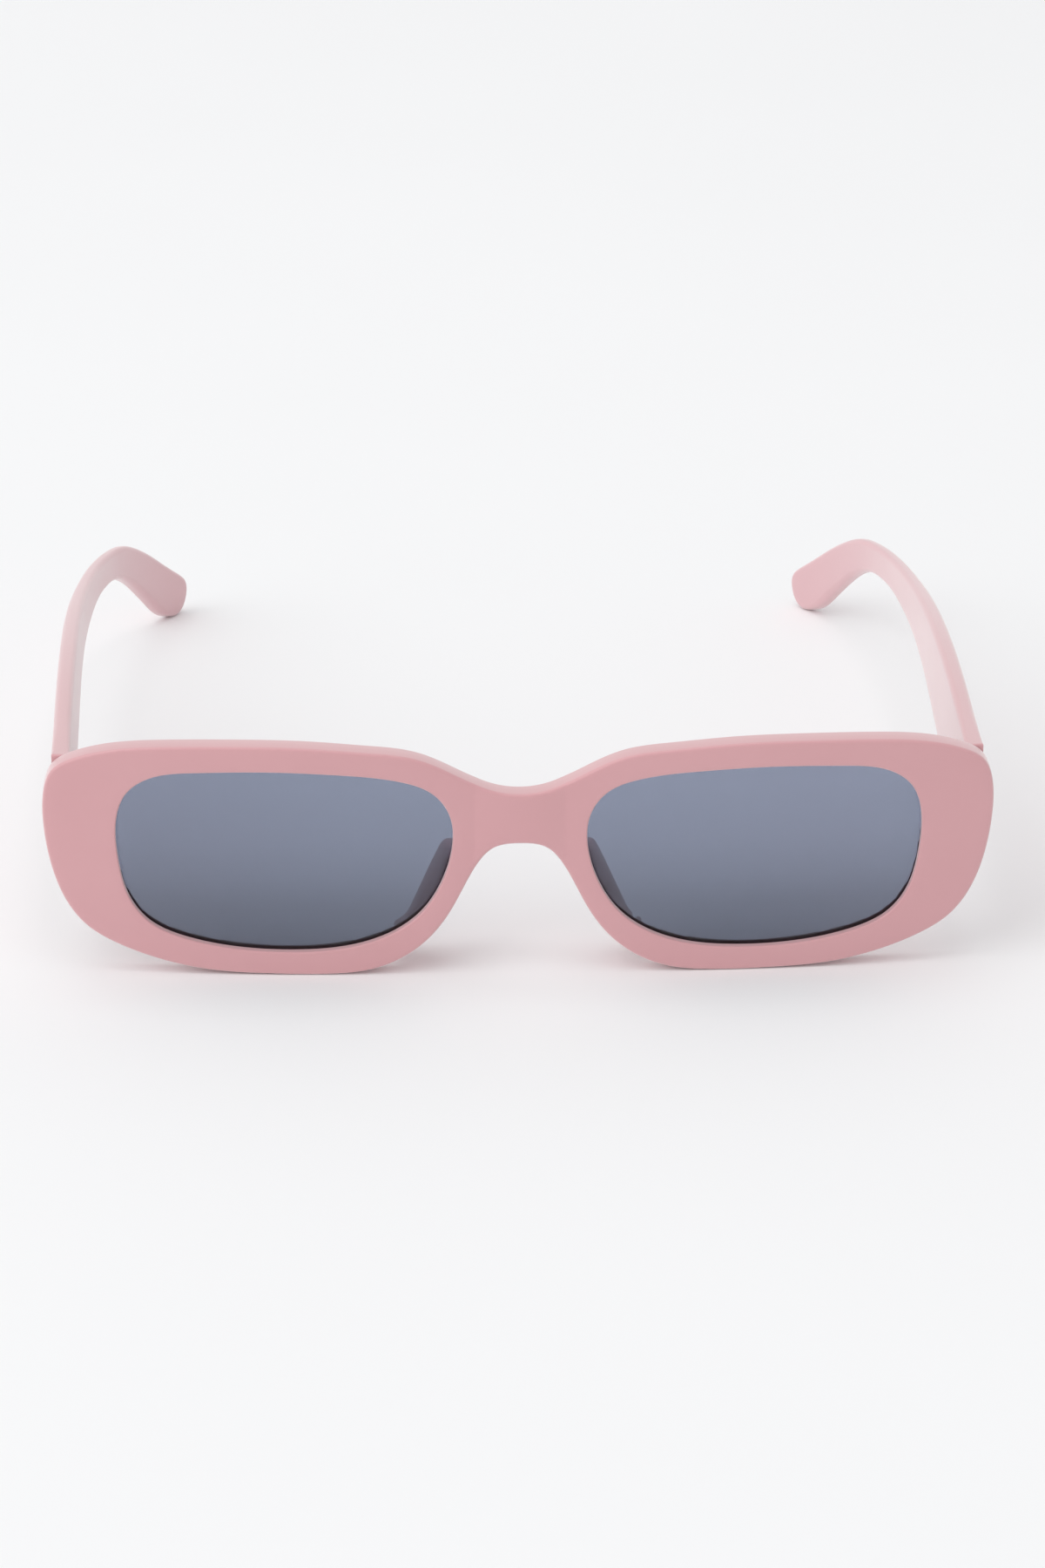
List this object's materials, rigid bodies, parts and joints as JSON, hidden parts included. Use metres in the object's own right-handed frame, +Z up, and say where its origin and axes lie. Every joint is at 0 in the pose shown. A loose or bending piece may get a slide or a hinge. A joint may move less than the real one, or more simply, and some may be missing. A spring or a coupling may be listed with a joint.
{
  "type": "sunglasses",
  "caption": "Narrow rounded-rectangle plastic sunglasses with tinted lenses, glued nose pads and folding curved temples on screwed barrel hinges.",
  "frame": {"origin": "middle of the footprint of the opened sunglasses, on the surface they stand on", "axes": "+X to the right as seen by someone facing the front of the sunglasses, +Y from the front back along the temples, +Z up"},
  "size_m": [0.145, 0.1488, 0.038],
  "materials": {
    "pink_plastic": "satin, pale pink",
    "pad_plastic": "satin, pale pink, cemented on",
    "tinted_lens": "polished smoke grey",
    "core_strip": "rolled strip",
    "hinge_metal": "nickel silver, tumbled",
    "washer_plastic": "natural nylon",
    "screw_steel": "plain steel"
  },
  "bodies": {
    "front": {"front_frame": "pink_plastic", "nose_pad_left": "pad_plastic", "nose_pad_right": "pad_plastic", "lens_left": "tinted_lens", "lens_right": "tinted_lens", "hinge_front_leaf_left": "hinge_metal", "hinge_front_leaf_right": "hinge_metal", "hinge_screw_left": "screw_steel", "hinge_screw_right": "screw_steel", "hinge_washers_left": "washer_plastic", "hinge_washers_right": "washer_plastic", "hinge_front_screws_left": "screw_steel", "hinge_front_screws_right": "screw_steel"},
    "temple_right_body": {"temple_right": "pink_plastic", "temple_core_right": "core_strip", "hinge_temple_leaf_right": "hinge_metal", "hinge_temple_screws_right": "screw_steel"},
    "temple_left_body": {"temple_left": "pink_plastic", "temple_core_left": "core_strip", "hinge_temple_leaf_left": "hinge_metal", "hinge_temple_screws_left": "screw_steel"}
  },
  "joints": [
    {"name": "temple_right_fold", "type": "hinge", "parent": "front", "child": "temple_right_body", "pos_m": [0.0652, -0.06349, 0.0246], "axis": [0, 0, 1], "range_deg": [0, 88]},
    {"name": "temple_left_fold", "type": "hinge", "parent": "front", "child": "temple_left_body", "pos_m": [-0.0652, -0.06349, 0.0246], "axis": [0, 0, -1], "range_deg": [0, 77]}
  ]
}
